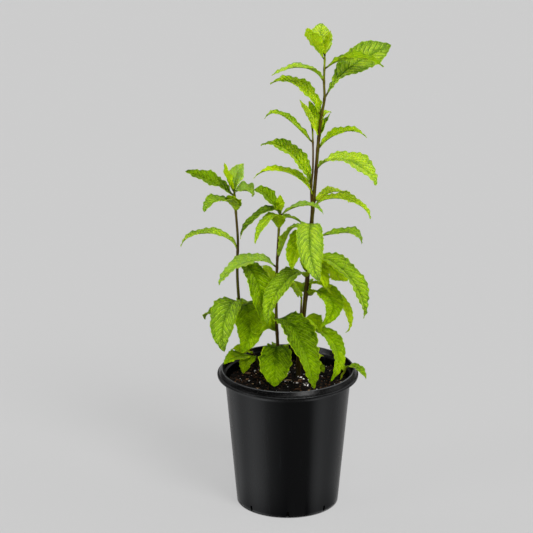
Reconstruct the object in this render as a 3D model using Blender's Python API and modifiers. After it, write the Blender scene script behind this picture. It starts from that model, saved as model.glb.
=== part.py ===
# Potted guinea hen weed: three leafy stems and two seedlings in a round nursery pot.
# Sizes below are in millimetres and are turned into metres where a mesh is made.
# +Z is up, +X is to the right, +Y is to the back, and the origin is the middle of the pot's underside.

import math

import bmesh
import bpy
import numpy as np

MM = 0.001
GAP = 0.3                   # left between pieces that touch
CAP_WELD = 0.00001          # metres: joins a tube's caps to its side
JOIN_WELD = 0.0000002       # metres: only what is the same point in a joined shape
TURN_STEPS = 48             # sides of the pot and of the soil
TURN_WELD = 0.00001         # metres: closes a turned piece on its axis and where it meets itself

# The pot
POT_HEIGHT = 165.3
RIM_RADIUS = 82.5           # the bead at the foot of the rim
MOUTH_RADIUS = 77.5         # outer edge of the mouth
MOUTH_INNER = 76.0
COLLAR_RADIUS = 73.6        # wall just under the rim
FOOT_RADIUS = 58.9          # edge of the flat underside
WALL_FOOT_RADIUS = 60.5     # wall where it leaves the rounded foot
WALL_FOOT_HEIGHT = 8.0
RIM_DEPTH = 10.5            # height of the whole rim
LEDGE_DROP = 8.5            # inner ledge, measured down from the mouth
POT_WALL = 1.6
POT_FLOOR = 2.0
FLOOR_RADIUS = 56.4         # edge of the flat floor inside
LIP = 0.6                   # chamfer of the mouth's edges
SLOTS = 8                   # drain slots round the foot
SLOT_WIDTH = 3.0
SLOT_HEIGHT = 8.0
SLOT_DEPTH = 5.0            # how far a slot runs in under the pot
SLOT_CLEAR = 1.0            # how far its cutter stands out below

# The soil
SOIL_DROP = 17.0            # soil surface, measured down from the mouth
SOIL_RELIEF = 1.6           # height of its lumps above and below that level
SOIL_EDGE = 1.5             # how far its edge is below its surface
SOIL_RINGS = 7

# Stems and leaves
STEM_STEPS = 3              # straight steps between two points of a stem's route
ROOT_GAP = 0.4              # room round a stem in its hole
HOLE_RISE = 4.8             # how far a hole's cutter stands above the soil's level
BLADE = 0.9                 # thickness of a leaf
PETIOLE = 0.12              # share of a leaf's length that is its stalk
STALK = 0.1                 # half width of the stalk, as a share of the leaf's width
STALK_MOST = 1.0            # and at most this
HANDLE = 0.4                # length of a midrib's handles, as a share of its reach
OPENING = 0.12              # share of the blade in which it opens out from the stalk
TURNED_BY = 0.75            # share of the leaf's length at which its turn is complete
BULK = 0.8                  # how full and how far back the blade's outline is
FOLD = 18.0                 # degrees that each half of a blade is raised
WAVE = 0.055                # height of the edge's waves, as a share of the width
WAVES = 2.6                 # waves along each edge
WAVE_LAG = 2.0              # radians by which the two edges' waves differ
PHASE = 1.7                 # radians by which each leaf's waves differ from the last one's
KEEL = 0.5                  # how far the midrib stands out below
LEAF_SHARES = (0.0, 0.08, 0.14, 0.22, 0.32, 0.43, 0.54, 0.65, 0.76, 0.88, 1.0)

# Each stem: its route up from the root, then its radius at the root and at the top.
STEMS = {
    "tall": (((9.6, 15, 122), (13.8, 15, 168), (17.7, 15, 216), (22.9, 14, 277), (26.9, 13, 338),
              (30.9, 12, 390), (34.2, 11, 438), (37.6, 10, 468), (40.6, 10, 487), (40, 9, 509),
              (40.8, 9, 540)), 3.0, 1.1),
    "side": (((27.6, 12.5, 350), (26.2, 10, 379), (27.9, 8, 404), (28, 6, 428), (27.2, 5, 456)), 1.4, 0.9),
    "thin": (((10.6, 13, 160), (13.4, 9.5, 200), (14.8, 10, 224), (16, 11.5, 250)), 1.5, 1.1),
    "middle": (((-8.3, 5, 122), (-10.5, 5, 168), (-12, 4.5, 195), (-13.5, 3, 228), (-13.6, 2, 258),
                (-12.8, 1, 289), (-11.5, 0, 322), (-9.3, 0, 358)), 2.2, 1.3),
    "left": (((-25.6, 42, 124), (-38.5, 42, 160), (-47, 40, 178), (-52.6, 37, 204), (-56.6, 35, 230),
              (-58.8, 33, 262), (-58.9, 32, 287), (-58.2, 31, 312), (-60.2, 30, 344), (-62.4, 30, 374)),
             2.2, 1.3),
    "crown": (((22, 22, 124), (24, 21, 152), (26, 20, 158)), 1.6, 1.1),
    "edge": (((62.9, 8, 124), (62.9, 8, 149), (66, 6, 157), (68.5, 4, 163)), 1.5, 1.0),
}

# Each leaf: height of its foot on the stem, reach to its tip (across, back, up), the angles at which
# it leaves the stem and dives at the tip, its width, the turn of its blade, and its sideways bulge.
LEAVES = {
    "tall": (
        (522, (66, -17, 7), 48, 35, 30, 0, 0),
        (487, (76, 32, 57), 61, -20, 37, 45, 0),
        (507, (-58, -21, 12), 55, 38, 28, 0, 0),
        (466, (-58, 18, 33), 68, 38, 32, 0, 0),
        (368, (-69, 9, 18), 62, 58, 26, 0, 0),
        (427, (56, 6, 12), 42, 55, 24, 0, 0),
        (402, (67, -33, -8), 56, 66, 38, 8, 0),
        (353, (63, -12, -6), 64, 68, 27, 0, 0),
        (363, (40, 36, -10), 62, 55, 26, 0, 0),
        (325, (60, -10, -8), 22, 66, 28, 0, 0),
        (340, (9, -55, -54), 32, 84, 33, 0, 9),
        (318, (-22, -35, -38), 45, 84, 25, 0, 0),
        (262, (-46, -63, -31), 76, 90, 30, 0, 3),
        (291, (63, -35, -57), 50, 86, 38, 0, 0),
        (289, (44, 7, -21), 25, 45, 36, 60, 0),
        (284, (23, -24, -24), 25, 84, 22, 0, 0),
        (244, (16, -44, -16), 70, 88, 32, 0, -16),
        (260, (42, -6, -56), 50, 105, 18, 25, 0),
        (219, (20, -19, -10), 45, 55, 20, 0, 0),
        (210, (30, -37, -55), 15, 88, 28, 0, -16),
        (533, (-20, -10, 39), 84, -35, 25, 52, 4),
        (537, (-4, 15, 34), 84, -30, 24, 0, -5),
        (537, (6, -13, 33), 82, -60, 9, 0, 0),
        (441, (-9, 5, 42), 80, -72, 20, -60, 0),
        (445, (7, -11, 28), 75, -65, 14, 0, 0),
        (445, (17, -17, 26), 65, 15, 14, 0, 0),
        (275, (10, 60, -25), 35, 60, 28, 0, 0),
        (300, (-14, 56, -22), 35, 60, 26, 0, 0),
        (250, (-8, 62, -25), 35, 60, 28, 0, 0),
    ),
    "side": (
        (437, (-55, 0, 28), 45, 60, 26, 0, 0),
        (394, (-58, 22, 29), 66, 28, 34, -10, 0),
        (451, (-14, -9, 39), 82, -60, 16, 50, 0),
    ),
    "thin": (
        (247, (-23, -9, 17), 66, 10, 12, 0, 0),
    ),
    "middle": (
        (355, (-1, -4, 23), 86, -86, 9, 0, 0),
        (351, (50, -10, 5), 50, 65, 20, 0, 0),
        (349, (29, 14, -11), 30, 40, 16, 0, 0),
        (355, (-33, 12, 12), 70, 50, 28, -15, 0),
        (351, (-45, -20, -21), 70, 80, 24, 0, 0),
        (344, (-29, -28, -21), 60, 84, 19, 0, 0),
        (288, (-67, -10, -18), 58, 68, 30, -12, 0),
        (302, (34, -12, 32), 80, 30, 28, 0, 0),
        (222, (43, -55, -63), 38, 86, 46, 0, 9),
        (189, (-6, -47, -33), 34, 62, 42, 0, 0),
        (207, (-20, 16, -5), 84, 84, 30, -25, 0),
        (258, (-17, 28, 23), 55, 10, 14, 0, 0),
        (180, (6, 40, -10), 25, 45, 22, 0, 0),
    ),
    "left": (
        (282, (30, -50, -57), 28, 84, 36, 0, 0),
        (233, (-17, -44, -44), 45, 84, 40, 0, 0),
        (238, (2, -40, -52), 50, 84, 38, 0, -14),
        (366, (-57, 5, 28), 36, 12, 27, 0, 0),
        (371, (-11, -4, 36), 84, -70, 12, 60, 0),
        (371, (11, 6, 32), 84, -60, 22, 60, 0),
        (346, (-37, -30, 10), 80, 72, 30, 0, 0),
        (368, (20, 8, -5), 60, 66, 22, 0, 0),
        (300, (-65, 0, 1), 60, 62, 27, 0, 0),
        (198, (-47, 14, 12), 40, 30, 14, 0, 0),
        (161, (-36, -41, 8), 20, 20, 22, 0, 0),
        (164, (-12, -23, -14), 10, 66, 20, 0, 0),
        (166, (-36, 4, -1), 48, 45, 24, -50, 0),
        (200, (-8, 50, -15), 35, 55, 24, 0, 0),
        (222, (16, 44, -14), 35, 55, 24, 0, 0),
    ),
    "crown": (
        (155, (18, 9, 10), 45, 20, 16, 0, 0),
        (156, (18, -12, 2), 35, 40, 16, 0, 0),
    ),
    "edge": (
        (162, (23, -18, -6), 70, 66, 14, 0, 0),
        (158, (-4, 8, 6), 60, 20, 6, 0, 0),
    ),
}

# Each node of the plant, and the stems that are fused in it.
SHOOTS = {
    "tall_stem": ("tall", "side", "thin"),
    "middle_stem": ("middle",),
    "left_stem": ("left",),
    "crown_seedling": ("crown",),
    "edge_seedling": ("edge",),
}

LEAF_GREEN = (0.19, 0.36, 0.02)
POT_BLACK = (0.012, 0.013, 0.014)
SOIL_BROWN = (0.02, 0.012, 0.007)


# Scene, collections and materials

def clear_scene():
    for item in list(bpy.data.objects):
        bpy.data.objects.remove(item, do_unlink=True)


def add_collection(name):
    group = bpy.data.collections.new(name)
    bpy.context.scene.collection.children.link(group)
    return group


def make_material(name, colour, roughness):
    material = bpy.data.materials.new(name)
    material.use_nodes = True
    shader = material.node_tree.nodes["Principled BSDF"]
    shader.inputs["Base Color"].default_value = (*colour, 1.0)
    shader.inputs["Roughness"].default_value = roughness
    shader.inputs["Metallic"].default_value = 0.0
    return material


def move_to(group, item):
    for other in list(item.users_collection):
        other.objects.unlink(item)
    group.objects.link(item)


def mark_cutter(item):
    item.hide_render = True
    item.display_type = "WIRE"


def baked_mesh(item, name, weld):
    """The item as its modifiers leave it, as a plain mesh, with points closer than weld joined."""
    view = bpy.context.evaluated_depsgraph_get()
    mesh = bpy.data.meshes.new_from_object(item.evaluated_get(view))
    mesh.name = name
    work = bmesh.new()
    work.from_mesh(mesh)
    bmesh.ops.remove_doubles(work, verts=work.verts, dist=weld)
    work.to_mesh(mesh)
    work.free()
    return mesh


def shade_round(mesh, degrees):
    mesh.shade_smooth()
    mesh.set_sharp_from_angle(angle=math.radians(degrees))


# Turned pieces

def turned(name, profile, steps, group):
    """A profile of (radius, height) pairs in millimetres, turned about the Z axis."""
    mesh = bpy.data.meshes.new(name)
    points = [(radius * MM, 0, height * MM) for radius, height in profile]
    edges = [(i, i + 1) for i in range(len(points) - 1)]
    mesh.from_pydata(points, edges, [])
    item = bpy.data.objects.new(name, mesh)
    group.objects.link(item)
    screw = item.modifiers.new("Turn", "SCREW")
    screw.axis = "Z"
    screw.angle = math.tau
    screw.steps = steps
    screw.render_steps = steps
    screw.use_merge_vertices = True
    screw.merge_threshold = TURN_WELD
    return item


def wall_radius(height):
    """Outer radius of the pot's tapered wall at a height."""
    top = POT_HEIGHT - RIM_DEPTH
    share = (height - WALL_FOOT_HEIGHT) / (top - WALL_FOOT_HEIGHT)
    return WALL_FOOT_RADIUS + (COLLAR_RADIUS - WALL_FOOT_RADIUS) * share


def inner_radius(height):
    return wall_radius(height) - POT_WALL


def make_pot(group, cutters):
    rim_foot = POT_HEIGHT - RIM_DEPTH
    ledge = POT_HEIGHT - LEDGE_DROP
    profile = (
        (0, POT_FLOOR),
        (FLOOR_RADIUS, POT_FLOOR),
        (inner_radius(WALL_FOOT_HEIGHT), WALL_FOOT_HEIGHT),
        (inner_radius(rim_foot), rim_foot),
        (inner_radius(ledge), ledge),
        (MOUTH_INNER - 1.4, ledge + LIP),
        (MOUTH_INNER, POT_HEIGHT - LIP),
        (MOUTH_INNER + LIP, POT_HEIGHT),
        (MOUTH_RADIUS - LIP, POT_HEIGHT),
        (MOUTH_RADIUS, POT_HEIGHT - LIP),
        (RIM_RADIUS - 2.2, POT_HEIGHT - 4.2),
        (RIM_RADIUS - 1.9, POT_HEIGHT - 5.2),
        (RIM_RADIUS - 0.4, POT_HEIGHT - 5.8),
        (RIM_RADIUS, POT_HEIGHT - 7.0),
        (RIM_RADIUS - 0.3, POT_HEIGHT - 8.8),
        (RIM_RADIUS - 1.6, POT_HEIGHT - 9.4),
        (COLLAR_RADIUS + 1.0, POT_HEIGHT - 9.4),
        (COLLAR_RADIUS, rim_foot - 1.0),
        (WALL_FOOT_RADIUS, WALL_FOOT_HEIGHT),
        (WALL_FOOT_RADIUS - 0.5, 3.2),
        (FOOT_RADIUS, 0.9),
        (FOOT_RADIUS - 1.6, 0),
        (0, 0),
    )
    pot = turned("pot", profile, TURN_STEPS, group)
    slots = bpy.data.collections.new("slots")
    cutters.children.link(slots)
    reach = WALL_FOOT_RADIUS + 3.0
    inside = FOOT_RADIUS - SLOT_DEPTH
    for i in range(SLOTS):
        turn = math.tau * i / SLOTS
        middle = (reach + inside) / 2
        place = (middle * math.cos(turn), middle * math.sin(turn), (SLOT_HEIGHT - SLOT_CLEAR) / 2)
        bpy.ops.mesh.primitive_cube_add(size=1, location=np.array(place) * MM, rotation=(0, 0, turn))
        slot = bpy.context.active_object
        slot.name = f"slot_{i + 1}"
        slot.scale = ((reach - inside) * MM, SLOT_WIDTH * MM, (SLOT_HEIGHT + SLOT_CLEAR) * MM)
        mark_cutter(slot)
        move_to(slots, slot)
    cut = pot.modifiers.new("Slots", "BOOLEAN")
    cut.operation = "DIFFERENCE"
    cut.operand_type = "COLLECTION"
    cut.collection = slots
    return pot


def soil_height(x, y):
    """Height of the soil's surface in millimetres: broad lumps with smaller ones on them."""
    level = POT_HEIGHT - SOIL_DROP
    broad = math.sin(x / 15.0 + 0.6) * math.cos(y / 13.0 - 0.4)
    fine = math.sin(x / 5.3 + y / 7.1 + 1.2) * math.cos(y / 4.6 - x / 9.0)
    return level + SOIL_RELIEF * (0.6 * broad + 0.4 * fine)


def make_soil(group, holes):
    level = POT_HEIGHT - SOIL_DROP
    floor = POT_FLOOR + GAP
    outer = inner_radius(level - SOIL_EDGE) - GAP
    surface = [(outer * i / SOIL_RINGS, level) for i in range(SOIL_RINGS + 1)]
    profile = surface + [
        (inner_radius(WALL_FOOT_HEIGHT) - GAP, WALL_FOOT_HEIGHT),
        (FLOOR_RADIUS - GAP, floor),
        (0, floor),
    ]
    turned_soil = turned("soil_blank", profile, TURN_STEPS, group)
    mesh = baked_mesh(turned_soil, "soil", CAP_WELD)
    bpy.data.objects.remove(turned_soil, do_unlink=True)
    for vertex in mesh.vertices:
        x, y, z = vertex.co / MM
        if z > level - GAP:
            at_edge = math.hypot(x, y) > outer - GAP
            vertex.co.z = (level - SOIL_EDGE if at_edge else soil_height(x, y)) * MM
    soil = bpy.data.objects.new("soil", mesh)
    group.objects.link(soil)
    cut = soil.modifiers.new("Holes", "BOOLEAN")
    cut.operation = "DIFFERENCE"
    cut.operand_type = "COLLECTION"
    cut.collection = holes
    return soil


# Stems

def smooth_route(points):
    """Evenly spaced reading of the curve that runs through the points, a Catmull-Rom spline."""
    route = np.array(points, dtype=float)
    ends = np.vstack([2 * route[0] - route[1], route, 2 * route[-1] - route[-2]])
    share = np.linspace(0, 1, STEM_STEPS, endpoint=False)[:, None]
    stretches = []
    for i in range(len(route) - 1):
        a, b, c, d = ends[i:i + 4]
        cubic = 2 * b + (c - a) * share + (2 * a - 5 * b + 4 * c - d) * share**2
        stretches.append(0.5 * (cubic + (3 * b - a - 3 * c + d) * share**3))
    return np.vstack(stretches + [route[-1:]])


def foot_on(route, height):
    """The point of a stem's route at a height."""
    return np.array([np.interp(height, route[:, 2], route[:, axis]) for axis in range(3)])


def tube(name, route, radii, group):
    """A round tube along a route, as a closed mesh."""
    curve = bpy.data.curves.new(name, "CURVE")
    curve.dimensions = "3D"
    curve.bevel_depth = MM
    curve.bevel_resolution = 2
    curve.use_fill_caps = True
    spline = curve.splines.new("POLY")
    spline.points.add(len(route) - 1)
    for point, place, radius in zip(spline.points, route, radii):
        point.co = (*(place * MM), 1.0)
        point.radius = radius
    wire = bpy.data.objects.new(name + "_wire", curve)
    group.objects.link(wire)
    mesh = baked_mesh(wire, name, CAP_WELD)
    item = bpy.data.objects.new(name, mesh)
    item.matrix_world = wire.matrix_world
    bpy.data.objects.remove(wire, do_unlink=True)
    group.objects.link(item)
    return item


def make_hole(name, route, root_radius, holes):
    """The room that a stem's buried end takes up, a little wider and deeper than the stem."""
    top = POT_HEIGHT - SOIL_DROP + HOLE_RISE
    buried = [point for point in route if point[2] < top]
    buried.append(foot_on(route, top))
    down = buried[0] - buried[1]
    buried[0] = buried[0] + down / np.linalg.norm(down) * ROOT_GAP
    hole = tube(name, buried, [root_radius + ROOT_GAP] * len(buried), holes)
    mark_cutter(hole)


# Leaves

def leaf_midrib(foot, reach, lift, dive, sway, along):
    """A cubic curve from the foot to the tip, and its directions, at the given shares of its length."""
    flat = math.hypot(reach[0], reach[1])
    ahead = np.array([reach[0] / flat, reach[1] / flat, 0])
    aside = np.array([ahead[1], -ahead[0], 0])
    tip = foot + reach
    handle = HANDLE * np.linalg.norm(reach)
    leaving = ahead * math.cos(lift) + np.array([0, 0, math.sin(lift)])
    arriving = ahead * math.cos(dive) - np.array([0, 0, math.sin(dive)])
    first = foot + leaving * handle + aside * sway * 2 / 3
    second = tip - arriving * handle + aside * sway * 4 / 3
    back = 1 - along
    middle = back**3 * foot + 3 * back**2 * along * first + 3 * back * along**2 * second + along**3 * tip
    heading = back**2 * (first - foot) + 2 * back * along * (second - first) + along**2 * (tip - second)
    heading /= np.linalg.norm(heading, axis=1)[:, None]
    return middle, heading, aside


def leaf_faces(rings):
    """Triangles between six-sided rings, split alike over and under, and the two ends."""
    faces = []
    for i in range(rings - 1):
        near, far = i * 6, i * 6 + 6
        for k in range(6):
            j = (k + 1) % 6
            if k in (1, 4):
                faces += [(near + k, near + j, far + k), (near + j, far + j, far + k)]
            else:
                faces += [(near + k, near + j, far + j), (near + k, far + j, far + k)]
    last = (rings - 1) * 6
    for k in range(2, 6):
        faces.append((1, (k + 1) % 6, k))
        faces.append((last + 1, last + k, last + (k + 1) % 6))
    return faces


def make_leaf(name, foot, row, phase, group):
    """A stalk that widens into a folded blade with waved edges, as one closed loft."""
    _, reach, lift, dive, width, turn, sway = row
    share = np.array(LEAF_SHARES)
    along = share[:, None]
    middle, heading, aside = leaf_midrib(foot, np.array(reach, dtype=float), math.radians(lift),
                                         math.radians(dive), sway, along)
    side = aside - heading * (heading @ aside)[:, None]
    side /= np.linalg.norm(side, axis=1)[:, None]
    over = np.cross(side, heading)
    grown = np.clip(along / TURNED_BY, 0, 1)
    angle = math.radians(turn) * grown**2 * (3 - 2 * grown)
    side, over = side * np.cos(angle) - over * np.sin(angle), over * np.cos(angle) + side * np.sin(angle)

    blade = np.clip((share - PETIOLE) / (1 - PETIOLE), 0, 1)
    opened = np.clip(blade / OPENING, 0, 1)
    stalk = min(STALK_MOST, STALK * width)
    outline = width / 2 * np.sin(math.pi * blade**BULK)**BULK
    half = np.maximum(outline, np.where(opened < 1, stalk, BLADE / 2))
    swell = WAVE * width * np.sqrt(np.abs(np.sin(math.pi * blade)))
    left_wave = swell * np.sin(math.tau * WAVES * blade + phase)
    right_wave = swell * np.sin(math.tau * WAVES * blade + phase + WAVE_LAG)
    raised = half * math.sin(math.radians(FOLD)) * opened
    out = (half * math.cos(math.radians(FOLD)))[:, None]
    edge = ((1 - opened) * stalk / 2 + opened * BLADE / 2)[:, None]
    core = ((1 - opened) * stalk + opened * BLADE / 2)[:, None]
    keel = (KEEL * (1 - blade) * opened)[:, None]
    left = middle - side * out + over * (raised + left_wave)[:, None]
    right = middle + side * out + over * (raised + right_wave)[:, None]
    ring = (left + over * edge, middle + over * core, right + over * edge,
            right - over * edge, middle - over * (core + keel), left - over * edge)
    points = np.stack(ring, axis=1).reshape(-1, 3) * MM

    mesh = bpy.data.meshes.new(name)
    mesh.from_pydata(points.tolist(), [], leaf_faces(len(share)))
    leaf = bpy.data.objects.new(name, mesh)
    group.objects.link(leaf)


def fuse(name, trunk, branches, group):
    """The trunk and all that grows from it, joined in one solid."""
    join = trunk.modifiers.new("Join", "BOOLEAN")
    join.operation = "UNION"
    join.operand_type = "COLLECTION"
    join.collection = branches
    mesh = baked_mesh(trunk, name, JOIN_WELD)
    for item in list(branches.objects) + [trunk]:
        bpy.data.objects.remove(item, do_unlink=True)
    bpy.data.collections.remove(branches)
    shoot = bpy.data.objects.new(name, mesh)
    group.objects.link(shoot)
    return shoot


def make_shoot(node, stem_names, first_leaf, group, holes):
    """One node of the plant: its stems and their leaves. Returns it with the next leaf's number."""
    branches = add_collection(node + "_branches")
    trunk = None
    number = first_leaf
    for stem_name in stem_names:
        points, root_radius, top_radius = STEMS[stem_name]
        route = smooth_route(points)
        stem = tube(stem_name, route, np.linspace(root_radius, top_radius, len(route)), branches)
        if trunk is None:
            trunk = stem
            move_to(group, stem)
            make_hole(stem_name + "_hole", route, root_radius, holes)
        for row in LEAVES[stem_name]:
            make_leaf(f"leaf_{number}", foot_on(route, row[0]), row, number * PHASE, branches)
            number += 1
    return fuse(node, trunk, branches, group), number


# The whole thing

clear_scene()
plant = add_collection("potted_guinea_hen_weed")
cutters = add_collection("cutters")
holes = bpy.data.collections.new("holes")
cutters.children.link(holes)

pot = make_pot(plant, cutters)
pot.data.materials.append(make_material("pot_plastic", POT_BLACK, 0.45))

leaf_material = make_material("leaf", LEAF_GREEN, 0.5)
next_leaf = 0
for node, stem_names in SHOOTS.items():
    shoot, next_leaf = make_shoot(node, stem_names, next_leaf, plant, holes)
    shoot.data.materials.clear()
    shoot.data.materials.append(leaf_material)
    shade_round(shoot.data, 50)

soil = make_soil(plant, holes)
soil.data.materials.append(make_material("potting_soil", SOIL_BROWN, 0.95))
shade_round(soil.data, 60)
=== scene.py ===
# Potted guinea hen weed: finished leaves, stems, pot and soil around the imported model, in soft light.
# Dictionaries hold millimetres and degrees. Meshes are in metres: +Z up, +X to the right, +Y to the back.
# In a look, a band is where a value starts and ends, then what it gives at those two, or else 0 and 1.
# Heights in a look are in metres, and its patches and cells are counted in a metre.

import math

import bpy
import numpy as np
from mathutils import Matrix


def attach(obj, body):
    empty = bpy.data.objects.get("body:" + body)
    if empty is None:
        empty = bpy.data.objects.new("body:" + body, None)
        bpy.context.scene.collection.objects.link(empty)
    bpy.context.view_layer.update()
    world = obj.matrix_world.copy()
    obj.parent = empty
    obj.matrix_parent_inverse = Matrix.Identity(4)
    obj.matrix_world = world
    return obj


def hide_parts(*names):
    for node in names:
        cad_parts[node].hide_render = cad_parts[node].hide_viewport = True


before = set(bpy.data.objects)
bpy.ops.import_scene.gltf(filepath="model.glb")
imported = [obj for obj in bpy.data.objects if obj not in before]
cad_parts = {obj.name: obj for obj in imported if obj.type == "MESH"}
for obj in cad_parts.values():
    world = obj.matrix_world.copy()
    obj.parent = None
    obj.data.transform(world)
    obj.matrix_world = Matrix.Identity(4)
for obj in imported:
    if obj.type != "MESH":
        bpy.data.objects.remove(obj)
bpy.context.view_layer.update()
mm = 0.001


# Meshes

def toArray(values):
    return np.asarray(values, dtype=float)


def unit(rows):
    # each row divided by its length
    return rows / np.linalg.norm(rows, axis=1)[:, None]


def addObject(name, data):
    item = bpy.data.objects.new(name, data)
    bpy.context.scene.collection.objects.link(item)
    return item


def meshFrom(name, points, faces, smooth=True):
    # points in millimetres, faces as an array of corners or a list of arrays
    mesh = bpy.data.meshes.new(name)
    groups = faces if isinstance(faces, list) else [faces]
    corners = np.concatenate([group.reshape(-1) for group in groups]).astype(np.int32)
    sizes = np.concatenate([np.full(len(group), group.shape[1]) for group in groups]).astype(np.int32)
    mesh.vertices.add(len(points))
    mesh.vertices.foreach_set("co", (toArray(points) * mm).reshape(-1).astype(np.float32))
    mesh.loops.add(len(corners))
    mesh.loops.foreach_set("vertex_index", corners)
    mesh.polygons.add(len(sizes))
    mesh.polygons.foreach_set("loop_start", np.concatenate([[0], np.cumsum(sizes)[:-1]]).astype(np.int32))
    mesh.polygons.foreach_set("use_smooth", np.full(len(sizes), smooth))
    mesh.update(calc_edges=True)
    mesh.validate()
    return mesh


def pointValues(mesh, name, values):
    layer = mesh.attributes.new(name, "FLOAT", "POINT")
    layer.data.foreach_set("value", np.asarray(values, dtype=np.float32).reshape(-1))


def uvFromPoints(mesh, acrossAndAlong):
    # each corner takes the pair of values of its point
    corner = np.zeros(len(mesh.loops), dtype=np.int32)
    mesh.loops.foreach_get("vertex_index", corner)
    layer = mesh.uv_layers.new(name="surface")
    layer.data.foreach_set("uv", acrossAndAlong[corner].reshape(-1).astype(np.float32))


def ringQuads(rings, around):
    # quads of a closed tube of rings, each with the same number of points, facing outwards
    i = np.arange(rings - 1)[:, None] * around
    k = np.arange(around)[None, :]
    j = (k + 1) % around
    return np.stack([i + k, i + j, i + around + j, i + around + k], axis=-1).reshape(-1, 4)


def turnedFaces(rings, steps):
    # faces of rings about Z, closed at both ends by a fan round a pole; the poles come after the rings
    k = np.arange(steps)
    j = (k + 1) % steps
    last = (rings - 1) * steps
    pole = np.full(steps, rings * steps)
    return [ringQuads(rings, steps)[:, ::-1], np.stack([k, j, pole], axis=-1),
            np.stack([last + j, last + k, pole + 1], axis=-1)]


def joinParts(parts):
    # parts: list of (points, [face arrays], values) with values a dictionary of one number per point
    points, faces, values = [], {}, {}
    start = 0
    for partPoints, partFaces, partValues in parts:
        points.append(partPoints)
        for group in partFaces:
            faces.setdefault(group.shape[1], []).append(group + start)
        for key, column in partValues.items():
            values.setdefault(key, []).append(column)
        start += len(partPoints)
    merged = [np.concatenate(groups) for _, groups in sorted(faces.items())]
    return np.concatenate(points), merged, {key: np.concatenate(column) for key, column in values.items()}


# Smooth noise from sums of sines, for shapes

def ripple(x, y, seed, octaves=3):
    # a sum of sine waves in scattered directions, each octave finer and lower, about -1 to 1
    draw = np.random.default_rng(seed)
    total = np.zeros(np.broadcast(x, y).shape)
    height = 1.0
    waves, fading = 4, 0.55
    for octave in range(octaves):
        for _ in range(waves):
            angle, shift = draw.uniform(0, math.tau, 2)
            pitch = 2.0**octave * draw.uniform(0.8, 1.25)
            slope = x * math.cos(angle) + y * math.sin(angle)
            total = total + height * np.sin(pitch * slope + shift) / waves
        height *= fading
    return total


# Materials

def newMaterial(name):
    material = bpy.data.materials.new(name)
    material.use_nodes = True
    tree = material.node_tree
    shader = tree.nodes["Principled BSDF"]
    return material, tree, shader


def addNode(tree, kind, **settings):
    node = tree.nodes.new(kind)
    for key, value in settings.items():
        setattr(node, key, value)
    return node


def feed(tree, socket, value):
    # a number, a colour or another node's output goes into the socket
    if isinstance(value, bpy.types.NodeSocket):
        tree.links.new(value, socket)
    elif isinstance(value, tuple) and len(value) == 3 and socket.type == "RGBA":
        socket.default_value = (*value, 1.0)
    else:
        socket.default_value = value


def maths(tree, operation, *values):
    node = addNode(tree, "ShaderNodeMath", operation=operation)
    for socket, value in zip(node.inputs, values):
        feed(tree, socket, value)
    return node.outputs[0]


def times(tree, first, second):
    return maths(tree, "MULTIPLY", first, second)


def awayFrom(tree, value, middle):
    return maths(tree, "ABSOLUTE", maths(tree, "SUBTRACT", value, middle))


def mixColours(tree, share, first, second, blend="MIX"):
    # sockets 0, 6 and 7 are the share and the two colours, and output 2 is their mix
    node = addNode(tree, "ShaderNodeMix", data_type="RGBA", blend_type=blend)
    for socket, value in ((0, share), (6, first), (7, second)):
        feed(tree, node.inputs[socket], value)
    return node.outputs[2]


def layered(tree, colour, layers):
    # each layer is a share and the colour that covers the ones below by that share
    for share, over in layers:
        colour = mixColours(tree, share, colour, over)
    return colour


def rangeMap(tree, value, low, high, toLow=0.0, toHigh=1.0):
    # a smooth step from the first result to the second between low and high
    node = addNode(tree, "ShaderNodeMapRange", interpolation_type="SMOOTHSTEP")
    feed(tree, node.inputs["Value"], value)
    for key, number in (("From Min", low), ("From Max", high), ("To Min", toLow), ("To Max", toHigh)):
        node.inputs[key].default_value = number
    return node.outputs["Result"]


def ramp(tree, value, stops):
    node = addNode(tree, "ShaderNodeValToRGB")
    feed(tree, node.inputs[0], value)
    elements = node.color_ramp.elements
    while len(elements) < len(stops):
        elements.new(0.5)
    for element, (place, colour) in zip(elements, stops):
        element.position = place
        element.color = (*colour, 1.0)
    return node.outputs[0]


def noise(tree, vector, scale, detail, roughness):
    node = addNode(tree, "ShaderNodeTexNoise")
    feed(tree, node.inputs["Vector"], vector)
    for key, value in (("Scale", scale), ("Detail", detail), ("Roughness", roughness)):
        node.inputs[key].default_value = value
    return node.outputs["Fac"]


def ownValue(tree, name):
    return addNode(tree, "ShaderNodeAttribute", attribute_name=name).outputs["Fac"]


def objectPlace(tree):
    return addNode(tree, "ShaderNodeTexCoord").outputs["Object"]


def heightOf(tree, place):
    axes = addNode(tree, "ShaderNodeSeparateXYZ")
    feed(tree, axes.inputs[0], place)
    return axes.outputs["Z"]


def drawnOut(tree, place, share):
    # the height is squeezed to a share, so that a pattern is drawn out up and down
    node = addNode(tree, "ShaderNodeMapping")
    node.inputs["Scale"].default_value = (1.0, 1.0, share)
    feed(tree, node.inputs["Vector"], place)
    return node.outputs[0]


def feedBump(tree, shader, height, strength, distance):
    node = addNode(tree, "ShaderNodeBump")
    feed(tree, node.inputs["Height"], height)
    node.inputs["Strength"].default_value = strength
    node.inputs["Distance"].default_value = distance
    feed(tree, shader.inputs["Normal"], node.outputs["Normal"])


def setShader(shader, values):
    for key, value in values.items():
        shader.inputs[key].default_value = value


mottleSizes = ("Broad", "Middle", "Fine")
mottleDetail = 3.0


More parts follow.
